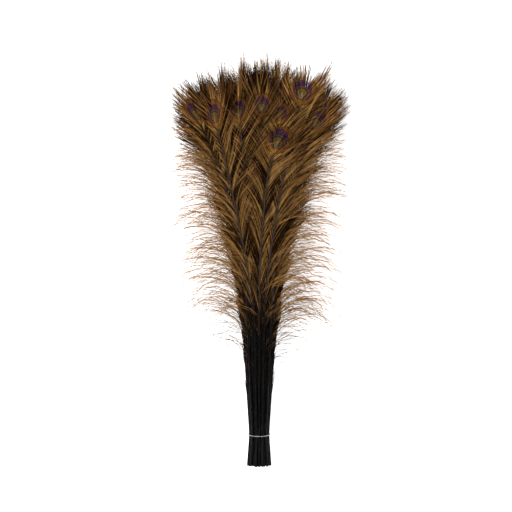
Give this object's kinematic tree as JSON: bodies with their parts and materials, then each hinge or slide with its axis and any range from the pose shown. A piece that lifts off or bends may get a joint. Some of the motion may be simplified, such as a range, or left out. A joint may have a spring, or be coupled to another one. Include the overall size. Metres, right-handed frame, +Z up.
{
  "type": "tied bundle of peacock feathers",
  "caption": "Bundle of long brown-dyed peacock tail feathers with eyes, bound near the quill ends by an elastic band, lying down.",
  "frame": {"origin": "bottom centre of the bundle's box, on the surface that it lies on", "axes": "+Y along the bundle from the cut quills to the eyes, +Z up from the surface, +X across the fan"},
  "size_m": [0.347, 0.8206, 0.1023],
  "materials": {
    "feather": "dyed keratin: black glossy quill, golden-brown silky barbs, purple and olive eye",
    "tie_band": "satin silvery-grey elastic"
  },
  "bodies": {
    "root": {"feather_01": "feather", "feather_02": "feather", "feather_03": "feather", "feather_04": "feather", "feather_05": "feather", "feather_06": "feather", "feather_07": "feather", "feather_08": "feather", "feather_09": "feather", "feather_10": "feather", "feather_11": "feather", "feather_12": "feather", "feather_13": "feather", "feather_14": "feather", "feather_15": "feather", "feather_16": "feather", "feather_17": "feather", "feather_18": "feather", "feather_19": "feather", "feather_20": "feather", "feather_21": "feather", "feather_22": "feather", "feather_23": "feather", "feather_24": "feather", "feather_25": "feather", "feather_26": "feather", "feather_27": "feather", "feather_28": "feather", "feather_29": "feather", "feather_30": "feather", "feather_31": "feather", "feather_32": "feather", "feather_33": "feather", "feather_34": "feather", "feather_35": "feather", "feather_36": "feather", "feather_37": "feather", "feather_38": "feather", "feather_39": "feather", "feather_40": "feather", "feather_41": "feather", "feather_42": "feather", "feather_43": "feather", "feather_44": "feather", "feather_45": "feather", "feather_46": "feather", "feather_47": "feather", "feather_48": "feather", "feather_49": "feather", "feather_50": "feather", "feather_51": "feather", "feather_52": "feather", "feather_53": "feather", "feather_54": "feather", "feather_55": "feather", "tie_band": "tie_band"}
  },
  "joints": []
}
